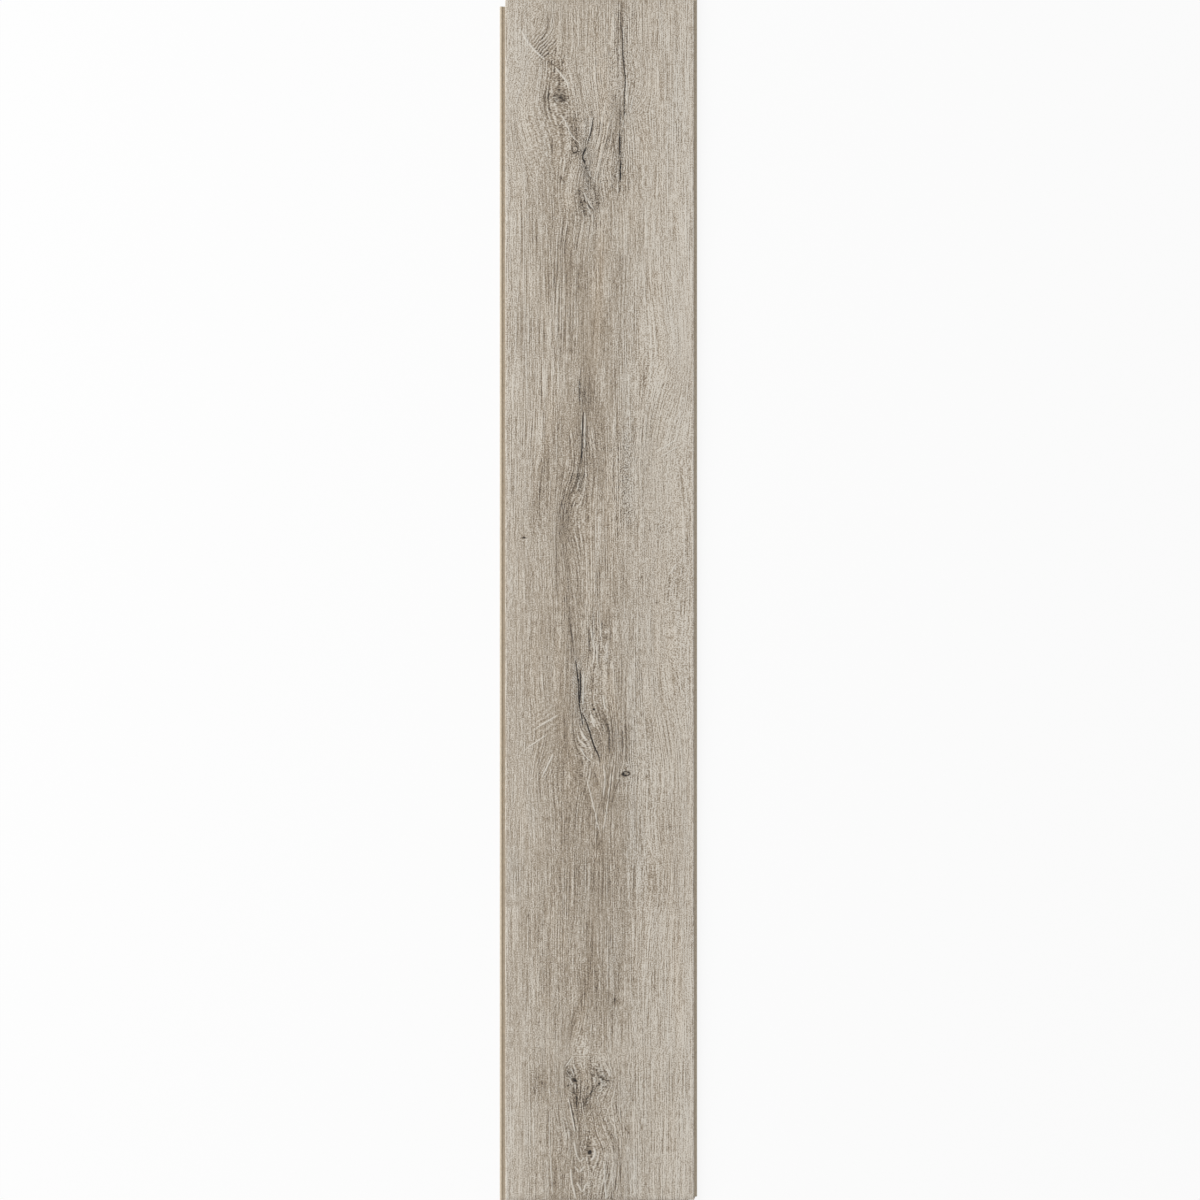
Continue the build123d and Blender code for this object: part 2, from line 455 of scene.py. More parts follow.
# Fine pale lines, such as rays and scratches: points and width.
RAYS = [
    ([(520.6, 29.6), (527.6, 41.6), (536, 51.6), (547, 61.6)], 2.0),
    ([(555, 66.4), (562, 75.4), (570.6, 88)], 1.8),
    ([(560.6, 113.6), (565, 121.4), (572, 135.6), (581, 145)], 1.5),
    ([(567.8, 129), (575.4, 141)], 1.1),
    ([(592.8, 116), (590.8, 126), (588.8, 137)], 1.1),
    ([(564.4, 118), (558, 127)], 1.0),
    ([(626.8, 76), (627.4, 108)], 1.4),
    ([(622, 130), (625.6, 112)], 1.1),
    ([(588, 168), (591, 178)], 1.4),
    ([(582.9, 190), (590.7, 205.6), (596.4, 211)], 1.4),
    ([(586.4, 203), (590.7, 214)], 1.5),
    ([(597, 165), (593.6, 182)], 1.1),
    ([(604, 140), (597.6, 172)], 1.0),
    ([(655.6, 453), (676.6, 439)], 1.6),
    ([(660, 457), (679, 446)], 1.2),
    ([(668, 576), (677, 563)], 1.5),
    ([(663, 391), (679, 396)], 1.4),
    ([(585.4, 410), (584.6, 450)], 1.2),
    ([(583.6, 668), (583, 706)], 1.2),
    ([(590.6, 623), (591.9, 635), (594.4, 651), (593.8, 660), (591, 667)], 1.5),
    ([(600.4, 622), (600.6, 640)], 1.1),
    ([(603.1, 695), (605, 710)], 1.4),
    ([(580.6, 747), (585, 756), (592, 762)], 1.1),
    ([(590.8, 713), (592.5, 720), (594.6, 728)], 2.0),
    ([(535, 729), (560, 713.6)], 1.2),
    ([(526, 748.7), (547, 734.6)], 1.2),
    ([(541, 779.6), (553.4, 753)], 1.2),
    ([(568.2, 1097), (571, 1111), (573.4, 1124), (575.4, 1134)], 1.2),
    ([(573.6, 1140), (576.7, 1155), (580.6, 1162)], 1.5),
    ([(580.8, 1162.4), (584.6, 1156)], 1.2),
    ([(576.7, 1182), (582.2, 1192.4)], 1.8),
    ([(582.4, 1192.4), (587.4, 1182)], 1.8),
    ([(574.4, 1166), (579.4, 1173)], 1.6),
    ([(579.6, 1173), (584.6, 1166)], 1.6),
    ([(570, 1167), (572.2, 1184), (576.7, 1202)], 1.6),
    ([(592.6, 1145.6), (594.8, 1151), (594.2, 1156.4), (590.4, 1161.4)], 2.0),
    ([(586.4, 1155), (587.6, 1161)], 1.3),
    ([(606, 1068), (610.4, 1077)], 1.5),
    ([(611.6, 1117), (616, 1123.4)], 1.4),
    ([(572.2, 1057), (565.6, 1067)], 1.0),
    ([(571, 1068), (574, 1075)], 1.2),
    ([(549, 1104), (550, 1150), (553, 1199)], 0.9),
    ([(604, 1160), (606, 1200)], 1.2),
    ([(586, 776), (594, 808), (600, 834)], 1.1),
    ([(603, 762), (605, 780), (602.6, 800)], 1.3),
    ([(611.4, 772), (608, 800), (603.4, 832)], 1.0),
    ([(606, 98), (601.4, 126), (598.6, 148)], 1.0),
    ([(612.4, 112), (606.6, 134)], 0.9),
    ([(602.4, 150), (596.4, 181)], 1.1),
    ([(600.6, 132), (595, 152)], 0.9),
    ([(633, 96), (629.4, 116)], 0.9),
    ([(596.4, 640), (597, 664)], 1.2),
    ([(606.4, 640), (607.6, 660)], 1.2),
]

# Ripples pressed into the face. Round ones are the rings of knots, and straight ones are patches of
# parallel cuts across the fibres: centre, half-width, half-height, spacing, strength, and for the
# straight ones the way from one cut to the next as (across, down).
RIPPLES = [
    ((560, 98.5), 13, 15, 2.9, 0.35, None),
    ((583, 200), 10, 14, 3.0, 0.9, None),
    ((578, 688), 8, 20, 2.0, 1.0, (1, -1)),
    ((523, 538), 6, 6, 2.6, 0.6, None),
    ((586, 738), 8, 14, 3.4, 0.5, None),
    ((626, 773.6), 6, 5.5, 2.6, 0.5, None),
    ((569.6, 1071), 6, 8, 2.4, 0.9, None),
    ((590, 1152), 8, 9, 2.9, 0.45, None),
    ((530, 15), 12, 14, 2.2, 0.6, (1, 1)),
    ((543, 47), 12, 15, 2.9, 3.0, (1, 0.9)),
    ((522, 100), 9, 40, 2.3, 0.5, (1, -0.7)),
    ((530, 175), 20, 22, 2.6, 0.4, (1, -0.6)),
    ((640, 96), 11, 26, 2.5, 0.7, (1, 0.8)),
    ((610, 96), 5, 10, 2.3, 0.9, (1, -0.8)),
    ((668, 378), 18, 46, 2.9, 0.6, (1, 0.6)),
    ((627.5, 478), 4, 34, 2.5, 1.0, (0.2, 1)),
    ((663, 529), 10, 8, 2.4, 0.8, (0.5, 1)),
    ((545, 722), 14, 16, 5.0, 1.1, (0.6, 1)),
    ((546, 768), 9, 18, 2.7, 1.2, (1, 0.5)),
    ((638, 759), 10, 14, 2.4, 0.6, (1, -0.5)),
    ((672, 670), 16, 50, 2.3, 0.5, (1, -0.9)),
    ((560, 1062), 6, 8, 2.4, 0.5, (1, -0.4)),
    ((531, 1085), 8, 14, 2.5, 0.5, (0.6, 1)),
    ((664, 1048), 8, 10, 2.4, 0.5, (1, 0.5)),
]

# Zones where the fibres are cut across and look pebbly: points, half-width, weight.
PEBBLES = [
    ([(530, 60), (528, 110), (534, 165)], 17, 0.8),
    ([(516, 4), (522, 26)], 11, 0.6),
    ([(575, 195), (585, 215)], 14, 0.6),
    ([(640, 90), (640, 120)], 14, 0.5),
    ([(668, 325), (670, 415)], 24, 0.4),
    ([(627, 445), (628, 515)], 6, 0.8),
    ([(661, 523), (661, 534)], 9, 0.6),
    ([(676, 640), (674, 722)], 20, 0.4),
    ([(552, 716), (548, 782)], 12, 0.5),
    ([(596, 1068), (604, 1090)], 11, 0.8),
    ([(566, 842), (566, 860)], 14, 0.4),
    ([(590, 1120), (596, 1140)], 14, 0.5),
    ([(662, 460), (664, 640)], 22, 0.5),
]

# Zones of long, even and straight fibres: points, half-width, weight.
STRAIGHTS = [
    ([(532, 225), (530, 420)], 24, 1.0),
    ([(560, 240), (560, 380)], 14, 0.6),
    ([(600, 520), (603, 680)], 13, 0.3),
    ([(640, 220), (640, 320)], 14, 0.5),
    ([(545, 810), (545, 960)], 24, 0.3),
    ([(598, 820), (600, 960)], 18, 0.25),
    ([(655, 930), (658, 1200)], 24, 0.1),
    ([(655, 0), (660, 60)], 24, 0.5),
]

# Zones where the emboss is strongest: points, half-width, weight.
LIVELY = [
    ([(556, 60), (562, 100), (584, 150), (588, 215)], 15, 0.8),
    ([(622, 20), (622, 180)], 14, 0.8),
    ([(600, 120), (604, 170)], 16, 0.8),
    ([(590, 440), (572, 510)], 12, 0.6),
    ([(626, 440), (628, 520)], 9, 0.8),
    ([(592, 625), (604, 660)], 12, 1.0),
    ([(580, 670), (594, 750)], 14, 0.6),
    ([(622, 725), (626, 775)], 12, 0.6),
    ([(572, 1070), (576, 1110)], 9, 0.7),
    ([(602, 1065), (592, 1095)], 12, 0.8),
    ([(585, 1120), (590, 1200)], 14, 0.7),
    ([(612, 1110), (620, 1200)], 10, 0.7),
    ([(516, 60), (516, 220)], 11, 0.3),
    ([(515, 550), (515, 1195)], 13, -0.5),
    ([(542, 600), (542, 860)], 10, -0.3),
    ([(570, 70), (574, 170)], 10, 0.3),
    ([(596, 60), (596, 230)], 10, 0.45),
    ([(592, 305), (592, 355)], 11, -0.5),
    ([(616, 60), (617, 110)], 10, 0.4),
    ([(614, 430), (618, 530)], 10, 0.4),
    ([(645, 372), (645, 770)], 13, 0.35),
    ([(642, 430), (642, 470)], 10, 0.4),
    ([(678, 120), (678, 230)], 10, 0.3),
    ([(674, 540), (676, 600)], 12, 0.4),
    ([(598, 905), (598, 950)], 11, -0.35),
    ([(532, 225), (530, 420)], 22, -0.2),
]

# Zones of fine curls, round knots: points, half-width, weight.
CURLS = [
    ([(557, 96), (565, 102)], 7, 0.8),
    ([(564, 118), (578, 142)], 5, 0.5),
    ([(574, 150), (584, 152)], 5, 0.8),
    ([(586, 166), (592, 184)], 6, 1.0),
    ([(580, 194), (588, 214)], 7, 0.5),
    ([(581, 192), (586, 212)], 6, 1.0),
    ([(594, 190), (598, 208)], 5, 0.9),
    ([(560, 177), (566, 186)], 4, 0.6),
    ([(560, 238), (562, 248)], 5, 0.6),
    ([(620, 250), (622, 268)], 5, 0.4),
    ([(604, 628), (606, 662)], 4, 0.6),
    ([(594, 712), (598, 716)], 5, 0.5),
    ([(604, 722), (612, 744)], 5, 0.5),
    ([(626, 765), (628, 772)], 6, 0.5),
    ([(567, 1070), (574, 1082)], 6, 0.9),
    ([(596, 1072), (606, 1082)], 8, 1.0),
    ([(595, 1088), (586, 1104)], 5, 0.8),
    ([(562, 1122), (568, 1132)], 5, 0.8),
    ([(580, 1180), (584, 1196)], 5, 0.4),
    ([(534, 1072), (536, 1092)], 6, 0.5),
    ([(662, 524), (662, 532)], 6, 0.4),
    ([(624.6, 436), (628, 520)], 5.5, 0.75),
    ([(640, 425), (650, 440)], 6, 0.4),
    ([(666, 560), (676, 620)], 9, 0.35),
    ([(685, 540), (687, 600)], 5, 0.5),
]

# How warm the print is beyond its tone: points, half-width, levels of 255 between red and blue.
WARMTH = [
    ([(598, 30), (602, 110), (600, 165)], 6, 3.2),
    ([(604, 205), (602, 250), (598, 290), (596, 340), (592, 372)], 6, 4.2),
    ([(655, 75), (656, 95)], 7, 1.8),
    ([(648, 125), (648, 160)], 7, 1.8),
    ([(637, 185), (636, 240)], 6, 1.5),
    ([(657, 265), (660, 305)], 8, 1.5),
    ([(660, 345), (662, 380)], 8, 1),
    ([(565, 190), (566, 215)], 5, 1.6),
    ([(528, 270), (530, 312)], 6, 1.6),
    ([(546, 270), (547, 330)], 5, 1.2),
    ([(552, 385), (550, 430), (538, 470)], 5, 2.6),
    ([(605, 430), (609, 560)], 6, 1.8),
    ([(592, 500), (592, 600)], 4, 1.2),
    ([(661, 545), (663, 580)], 8, 2),
    ([(532, 625), (533, 700)], 6, 1.8),
    ([(560, 640), (562, 730), (569, 760), (574, 810)], 6, 2.6),
    ([(606, 665), (612, 700), (620, 732)], 5, 3.4),
    ([(606, 745), (603, 762), (594, 803)], 5, 3),
    ([(600, 840), (597, 870)], 5, 1.4),
    ([(546, 890), (545, 930)], 5, 1.2),
    ([(564, 925), (566, 970)], 5, 2.4),
    ([(591, 905), (593, 945)], 4, 1.4),
    ([(574, 1036), (584, 1004), (590, 958)], 5, 2.4),
    ([(543, 995), (545, 1012)], 6, 2),
    ([(668, 850), (675, 945), (676, 985), (682, 1022)], 7, 2.6),
    ([(664, 1098), (671, 1122), (672, 1165)], 8, 2.2),
    ([(583, 1068), (584, 1086)], 3.4, 2.6),
    ([(552, 1148), (556, 1168)], 5, 2),
    ([(590, 1108), (594, 1134)], 10, 1),
    ([(664, 600), (670, 700)], 9, 1),
    ([(510, 15), (535, 90)], 20, -1),
    ([(620, -10), (625, 100), (619, 150)], 7, -2.4),
    ([(620, 138), (618, 190)], 5, -4.4),
    ([(591, 118), (584, 152), (588, 200)], 5, -4.2),
    ([(541, 80), (546, 130), (546, 178)], 7, -2),
    ([(556, 95), (563, 99)], 7, -3),
    ([(678, 40), (676, 180)], 7, -1),
    ([(625, 240), (624, 330)], 8, -1.2),
    ([(620, 325), (622, 365), (628, 420), (628, 560)], 8, -2),
    ([(578, 376), (582, 396), (594, 400)], 5, -4),
    ([(516, 290), (518, 370)], 8, -1),
    ([(582, 424), (583, 456)], 4, -4),
    ([(579.5, 468), (580, 494)], 4, -6),
    ([(562, 420), (555, 462)], 5, -1.4),
    ([(575, 200), (574, 240)], 6, -1.4),
    ([(573, 640), (579, 690), (586, 725), (598, 754)], 5, -6),
    ([(589, 622), (591, 652)], 3.4, -2),
    ([(630, 600), (632, 900)], 15, -1.5),
    ([(626, 773), (626, 775)], 4, -6),
    ([(636, 780), (636, 900)], 7, -2),
    ([(533, 798), (534, 832)], 5, -2),
    ([(513, 845), (515, 895)], 9, -2.6),
    ([(584, 845), (585, 905)], 5, -1.8),
    ([(612, 895), (612, 1000), (616, 1045)], 7, -2.4),
    ([(572, 1064), (573, 1096)], 4, -4.5),
    ([(602, 1070), (600, 1090)], 6, -3),
    ([(622, 1082), (630, 1116)], 13, -2),
    ([(568, 1120), (573, 1162)], 5, -1.6),
    ([(590, 1150), (590, 1154)], 4, -6),
    ([(608, 1158), (606, 1206)], 7, -3),
    ([(632, 1140), (633, 1206)], 7, -2.4),
]


def smooth_line(points, parts=5):
    """The points of a smooth curve through the given points, as an array."""
    points = np.array(points, float)
    if len(points) < 3:
        return points
    padded = np.vstack([2 * points[0] - points[1], points, 2 * points[-1] - points[-2]])
    steps = np.linspace(0, 1, parts, endpoint=False)[:, None]
    line = []
    for before, start, end, after in zip(padded, padded[1:], padded[2:], padded[3:]):
        bend = 2 * before - 5 * start + 4 * end - after
        twist = 3 * start - before - 3 * end + after
        line.append(start + 0.5 * steps * (end - before + steps * (bend + steps * twist)))
    return np.vstack(line + [points[-1:]])


def along_line(places, line, reach):
    """For places near a line: which they are, how far from it, and where along it, from 0 to 1."""
    low, high = line.min(0) - reach, line.max(0) + reach
    near = np.flatnonzero(((places > low) & (places < high)).all(1))
    here = places[near]
    lengths = np.linalg.norm(np.diff(line, axis=0), axis=1)
    total = lengths.sum()
    distance = np.full(len(near), np.inf)
    share = np.zeros(len(near))
    passed = 0.0
    for start, end, length in zip(line, line[1:], lengths):
        step = (end - start) / max(length, 1e-6)
        along = np.clip((here - start) @ step, 0, length)
        off = np.linalg.norm(here - start - along[:, None] * step, axis=1)
        closer = off < distance
        distance[closer] = off[closer]
        share[closer] = (passed + along[closer]) / max(total, 1e-6)
        passed += length
    return near, distance, share


# A soft stroke fades from its line as a bell curve does. It is too faint to count SOFT_REACH of its
# half-widths away. Where it tapers, FAINT_END of its strength is left at its very ends.
SOFT_REACH = 2.6
FAINT_END = 0.3


def soft_strokes(places, strokes, taper=0.0):
    """Sum of soft strokes, each strongest on its line. taper is the share that fades at each end."""
    field = np.zeros(len(places))
    for points, half_width, strength in strokes:
        near, distance, share = along_line(places, smooth_line(points), SOFT_REACH * half_width)
        ends = np.ones(len(near))
        if taper:
            fade = np.clip(np.minimum(share, 1 - share) / taper, 0, 1)
            ends = fade * (1 - FAINT_END) + FAINT_END
        field[near] += strength * ends * np.exp(-((distance / half_width) ** 2))
    return field


def hump(places, centre, half_width, half_height):
    """How far to the right of a centre each place is, how far below it, and a hump that is 1 there."""
    right, below = places[:, 0] - centre[0], places[:, 1] - centre[1]
    return right, below, np.exp(-((right / half_width) ** 2 + (below / half_height) ** 2))


def ripple_field(places):
    """For each place: how many ripples from their middle it is, and how strong they are there."""
    count, strongest, runner_up = np.zeros((3, len(places)))
    for centre, half_width, half_height, spacing, strength, way in RIPPLES:
        right, below, share = hump(places, centre, half_width, half_height)
        if way:
            here = (right * way[0] + below * way[1]) / (math.hypot(*way) * spacing)
        else:
            here = np.hypot(right, below * half_width / half_height) / spacing
        weight = strength * share
        wins = weight > strongest
        runner_up = np.where(wins, strongest, np.maximum(runner_up, weight))
        strongest = np.where(wins, weight, strongest)
        count = np.where(wins, here, count)
    return count, strongest - runner_up


# A sharp field falls from its line by a half over SHARP_REACH millimetres, so that the mesh can carry
# it. A line's edge is where the field passes a half. Its ridge is rounded by ROUNDING. At a line's
# ends the square of its width is down to the share BLUNT_END. From there it grows by SHARP_TAPER times
# the share of the line's length, until it is full.
SHARP_REACH = 3.0
ROUNDING = 0.3
SHARP_TAPER = 5
BLUNT_END = 0.15
WOBBLE = 0.2


def wobble(places):
    """Places moved by up to 2 WOBBLE each way, in short waves, so that lines aren't too smooth."""
    x, y = places[:, 0], places[:, 1]
    across = np.sin(y / 1.9 + 1.3 * np.sin(x / 2.7)) + np.sin(y / 4.3 + x / 3.1)
    down = np.sin(x / 2.1 + 1.7 * np.sin(y / 3.3)) + np.sin(x / 4.9 - y / 2.9)
    return places + WOBBLE * np.stack([across, down], 1)


def sharp_strokes(places, strokes):
    """Highest of the sharp strokes at each place. They taper to their ends."""
    field = np.zeros(len(places))
    for points, width in strokes:
        near, distance, share = along_line(places, smooth_line(points), SHARP_REACH + width)
        width *= np.sqrt(np.clip(SHARP_TAPER * np.minimum(share, 1 - share) + BLUNT_END, 0, 1))
        value = 0.5 + (width / 2 + ROUNDING / 2 - np.hypot(distance, ROUNDING)) / (2 * SHARP_REACH)
        field[near] = np.maximum(field[near], value)
    return field


# Crisp lines run down the face, so they are stored as functions of the place down it: at each place,
# how far it is from the line, and the line's half-width and ink there. The shader draws them from that,
# finer than the mesh. Lines that pass each other, or come within LAYER_GAP, need a layer each. A stroke
# that drops less than LEAST_DROP in all, or LEAST_STEP between two points, or leans more than
# STEEPEST_LEAN, can't be stored so. Lines taper over 1 / CRISP_TAPER of their length, to nothing at
# their ends, and there is nothing END_STEP past them either, so that the gap to the next line is empty.
LINE_LAYERS = 10
LAYER_GAP = 5.0
LEAST_DROP = 5.0
LEAST_STEP = 0.02
STEEPEST_LEAN = 2.2
STRAIGHT_POINTS = 9
CRISP_TAPER = 6
END_STEP = 0.5
INKS = {"check": -0.50, "line": -0.19, "ray": 0.40}


def as_function(points):
    """The stroke as places down and across in order, or None if it turns back or lies too flat."""
    line = smooth_line(points)
    if len(line) == 2:
        line = np.linspace(line[0], line[1], STRAIGHT_POINTS)
    if line[0, 1] > line[-1, 1]:
        line = line[::-1]
    drops = np.diff(line[:, 1])
    if (drops <= LEAST_STEP).any() or line[-1, 1] - line[0, 1] < LEAST_DROP:
        return None
    if np.abs(np.diff(line[:, 0]) / drops).max() > STEEPEST_LEAN:
        return None
    return line


def layered_lines():
    """The crisp lines in layers, and the strokes that are left over, by kind."""
    layers = [[] for _ in range(LINE_LAYERS)]
    left_over = {}
    for kind, strokes in (("check", CHECKS), ("ray", RAYS), ("line", LINES)):
        left_over[kind] = []
        for points, width in strokes:
            line = as_function(points)
            home = None
            if line is not None:
                start, end = line[0, 1] - LAYER_GAP, line[-1, 1] + LAYER_GAP
                free = [layer for layer in layers if all(end < a or start > b for a, b, *_ in layer)]
                home = free[0] if free else None
            if home is None:
                left_over[kind].append((points, width))
            else:
                home.append((line[0, 1], line[-1, 1], line, width, INKS[kind]))
    return [sorted(layer, key=lambda entry: entry[0]) for layer in layers], left_over


def layer_field(places, layer):
    """For each place: how far across it is from the layer's line, its half-width, and its ink."""
    down, across, half_widths, inks = [], [], [], []
    for start, end, line, width, ink in layer:
        share = (line[:, 1] - start) / (end - start)
        taper = np.sqrt(np.clip(CRISP_TAPER * np.minimum(share, 1 - share), 0, 1))
        lean = np.gradient(line[:, 0], line[:, 1])
        down += [start - END_STEP, *line[:, 1], end + END_STEP]
        across += [line[0, 0], *line[:, 0], line[-1, 0]]
        half_widths += [0, *(width / 2 * taper * np.hypot(1, lean)), 0]
        inks += [0, *(ink * taper), 0]
    line_across, half_width, ink = (np.interp(places[:, 1], down, at) for at in (across, half_widths, inks))
    return np.stack([places[:, 0] - line_across, half_width, ink], 1)


# Spots and rings are stored as the place in the nearest one's own frame, whose edge is at 1. The mesh
# carries that exactly. The ink ends SPOT_MARGIN outside the edge, and spots that are too close to each
# other for that need a layer each. MESH_STEP is about the widest step of the mesh where there are spots.
SPOT_LAYERS = 4
SPOT_MARGIN = 2.2
MESH_STEP = 1.6


def are_apart(spot, other):
    reach = max(*spot[1:3], *other[1:3]) + SPOT_MARGIN + MESH_STEP
    return math.dist(spot[0], other[0]) > 2 * reach


def spot_layers():
    """The spots in layers. One that no layer has room for joins the layer with the fewest."""
    layers = [[] for _ in range(SPOT_LAYERS)]
    for spot in SPOTS:
        free = [layer for layer in layers if all(are_apart(spot, other) for other in layer)]
        home = free[0] if free else min(layers, key=len)
        home.append(spot)
    return layers


def spot_field(places, spots):
    """For each place: where it is in the nearest spot's frame, and each of the spot's inks there."""
    centres = np.array([spot[0] for spot in spots])
    nearest = np.argmin(np.linalg.norm(places[:, None] - centres[None], axis=2), 1)
    local = np.zeros((len(places), 2))
    inks = np.zeros((len(places), len(spots[0]) - 4))
    for number, (centre, half_width, half_height, turn, *ink) in enumerate(spots):
        mine = nearest == number
        right, up = places[mine, 0] - centre[0], centre[1] - places[mine, 1]
        cos, sin = math.cos(math.radians(turn)), math.sin(math.radians(turn))
        local[mine, 0] = (right * cos + up * sin) / half_width
        local[mine, 1] = (up * cos - right * sin) / half_height
        near = np.hypot(right, up) < max(half_width, half_height) + SPOT_MARGIN
        inks[mine] = near[:, None] * np.array(ink)
    return local, inks


def fibre_coordinates(places):
    """How far across the fibres and along them each place is, in millimetres, and a third that is 0."""
    across = places[:, 0].copy()
    for *zone, lean in LEANS:
        _, below, share = hump(places, *zone)
        across -= lean * below * share
    for *zone, bulge in BULGES:
        right, _, share = hump(places, *zone)
        across -= bulge * right * share
    for *zone, shift in BENDS:
        across -= shift * hump(places, *zone)[2]
    return np.stack([across, places[:, 1], np.zeros(len(places))], 1)


# Mesh of the plank. Its grid is fine where the small marks are, and coarse elsewhere. Steps are the
# fine one and the coarse one, in millimetres.

FINE_COLUMNS = [(540, 628)]
FINE_ROWS = [
    (28, 114),
    (140, 214),
    (436, 458),
    (532, 545),
    (562, 578),
    (700, 782),
    (1054, 1112),
    (1142, 1196),
]
COLUMN_STEPS = (0.75, 1.3)
ROW_STEPS = (1.5, 4.2)

# Distances in metres within which two places are the same, and within which the grid's rim is welded
# to the board's. Faces that lean less than FLAT towards each other are joined into one.
SAME = 1e-6
WELD = 2e-5
FLAT = math.radians(0.5)


def graded(low, high, fine_zones, steps):
    """Positions from low to high, with the fine step inside the fine zones."""
    fine, coarse = steps
    at = [low]
    while at[-1] < high:
        inside = any(start - coarse < at[-1] < end for start, end in fine_zones)
        at.append(at[-1] + (fine if inside else coarse))
    at = np.array(at)
    return low + (at - low) * (high - low) / (at[-1] - low)


def picture_to_frame(across, down):
    """Frame X and Y, in metres, of a place in the photograph's square."""
    return (across - FACE_CENTRE) * MM, (PICTURE / 2 - down) * MM


def frame_to_picture(x, y):
    return x / MM + FACE_CENTRE, PICTURE / 2 - y / MM


def split_at(mesh, start, end, stops):
    """Splits the edge between two vertices at the given points along it."""
    edge = mesh.edges.get((start, end))
    corner = start
    span = (end.co - start.co).length
    done = 0.0
    for stop in stops:
        fraction = (stop * span - done) / (span - done)
        edge, corner = bmesh.utils.edge_split(edge, corner, fraction)
        done = stop * span
        edge = mesh.edges.get((corner, end))


def build_plank_mesh():
    """The CAD plank with its flat face replaced by a fine grid, welded to the bevels round it."""
    mesh = bmesh.new()
    mesh.from_mesh(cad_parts["plank"].data)
    bmesh.ops.remove_doubles(mesh, verts=mesh.verts, dist=SAME)
    bmesh.ops.dissolve_limit(
        mesh, angle_limit=FLAT, verts=mesh.verts, edges=mesh.edges, delimit=set()
    )
    tops = [f for f in mesh.faces if all(abs(v.co.z - face_top) < SAME for v in f.verts)]
    corners = sorted({v for f in tops for v in f.verts}, key=lambda v: (round(v.co.y, 5), round(v.co.x, 5)))
    bmesh.ops.delete(mesh, geom=tops, context="FACES_ONLY")
    near_left, near_right, far_left, far_right = corners

    columns = graded(LEFT_EDGE + BEVEL, LEFT_EDGE + FACE_WIDTH - BEVEL, FINE_COLUMNS, COLUMN_STEPS)
    rows = graded(BEVEL, FACE_LENGTH - BEVEL, FINE_ROWS, ROW_STEPS)[::-1]
    column_x = picture_to_frame(columns, 0)[0]
    row_y = picture_to_frame(0, rows)[1]
    for start, end, at in (
        (near_left, near_right, column_x),
        (far_left, far_right, column_x),
        (near_left, far_left, row_y),
        (near_right, far_right, row_y),
    ):
        split_at(mesh, start, end, ((at - at[0]) / (at[-1] - at[0]))[1:-1])

    grid = [[mesh.verts.new((x, y, face_top)) for x in column_x] for y in row_y]
    for low_row, high_row in zip(grid, grid[1:]):
        for a, b, c, d in zip(low_row, low_row[1:], high_row[1:], high_row):
            mesh.faces.new((a, b, c, d)).smooth = True
    bmesh.ops.remove_doubles(mesh, verts=mesh.verts, dist=WELD)
    bmesh.ops.recalc_face_normals(mesh, faces=mesh.faces)
    data = bpy.data.meshes.new("plank_laminate")
    mesh.to_mesh(data)
    mesh.free()
    return data


def vertex_places(data):
    """Vertex positions in the frame, and as places in the photograph's square."""
    points = np.zeros(len(data.vertices) * 3)
    data.vertices.foreach_get("co", points)
    points = points.reshape(-1, 3)
    across, down = frame_to_picture(points[:, 0], points[:, 1])
    return points, np.stack([across, down], 1)


def store(data, name, values):
    kind = "FLOAT_VECTOR" if values.ndim == 2 else "FLOAT"
    attribute = data.attributes.new(name, kind, "POINT")
    attribute.data.foreach_set("vector" if values.ndim == 2 else "value", values.astype(np.float32).ravel())


# The share of a streak that fades at each end, and the least and most that zones add up to
SHADE_TAPER = 0.3
ZONE_RANGE = (-0.4, 1)


def print_fields(places):
    """The print's fields by name, with a row for each place."""
    uneven = wobble(places)
    layers, left_over = layered_lines()
    zones = [np.clip(soft_strokes(places, z), *ZONE_RANGE) for z in (PEBBLES, STRAIGHTS, LIVELY)]
    curled = np.clip(soft_strokes(places, CURLS), 0, 1)
    rings = [(*ring[:5], ring[5] / 2 / min(ring[1:3])) for ring in RINGS]
    ring_place, ring_inks = spot_field(places, rings)
    fields = {
        "broad": soft_strokes(places, BROAD),
        "shade": soft_strokes(places, SHADES, SHADE_TAPER),
        "warmth": soft_strokes(places, WARMTH, SHADE_TAPER),
        "zones": np.stack(zones, 1),
        "ripples": np.stack([*ripple_field(places), curled], 1),
        "fibres": fibre_coordinates(places),
        "rings": np.hstack([ring_place, ring_inks[:, :1]]),
        "ring_width": ring_inks[:, 1],
    }
    for kind, strokes in left_over.items():
        fields[kind] = sharp_strokes(uneven, strokes)
    for number, layer in enumerate(layers):
        fields[f"layer_{number}"] = layer_field(places, layer)
    for number, layer in enumerate(spot_layers()):
        fields[f"spots_{number}"] = np.hstack(spot_field(places, layer))
    return fields


# Relief of the face, as depths in millimetres below the flat face. It starts EDGE_FADE inside the
# bevel. A tone of DEEP_SHADE levels has the whole SHADE_DEPTH, and a check's groove has sloping sides,
# from the value CHECK_RIM of its sharp field to CHECK_FLOOR. The dark lines of the mesh are pressed in
# too, with their field lowered by SHALLOWER.
EDGE_FADE = 3.0
WAVE_DEPTH = 0.04
SHADE_DEPTH = 0.05
DEEP_SHADE = 30
CHECK_DEPTH = 0.16
CHECK_RIM = 0.3
CHECK_FLOOR = 0.6
SHALLOWER = 0.1


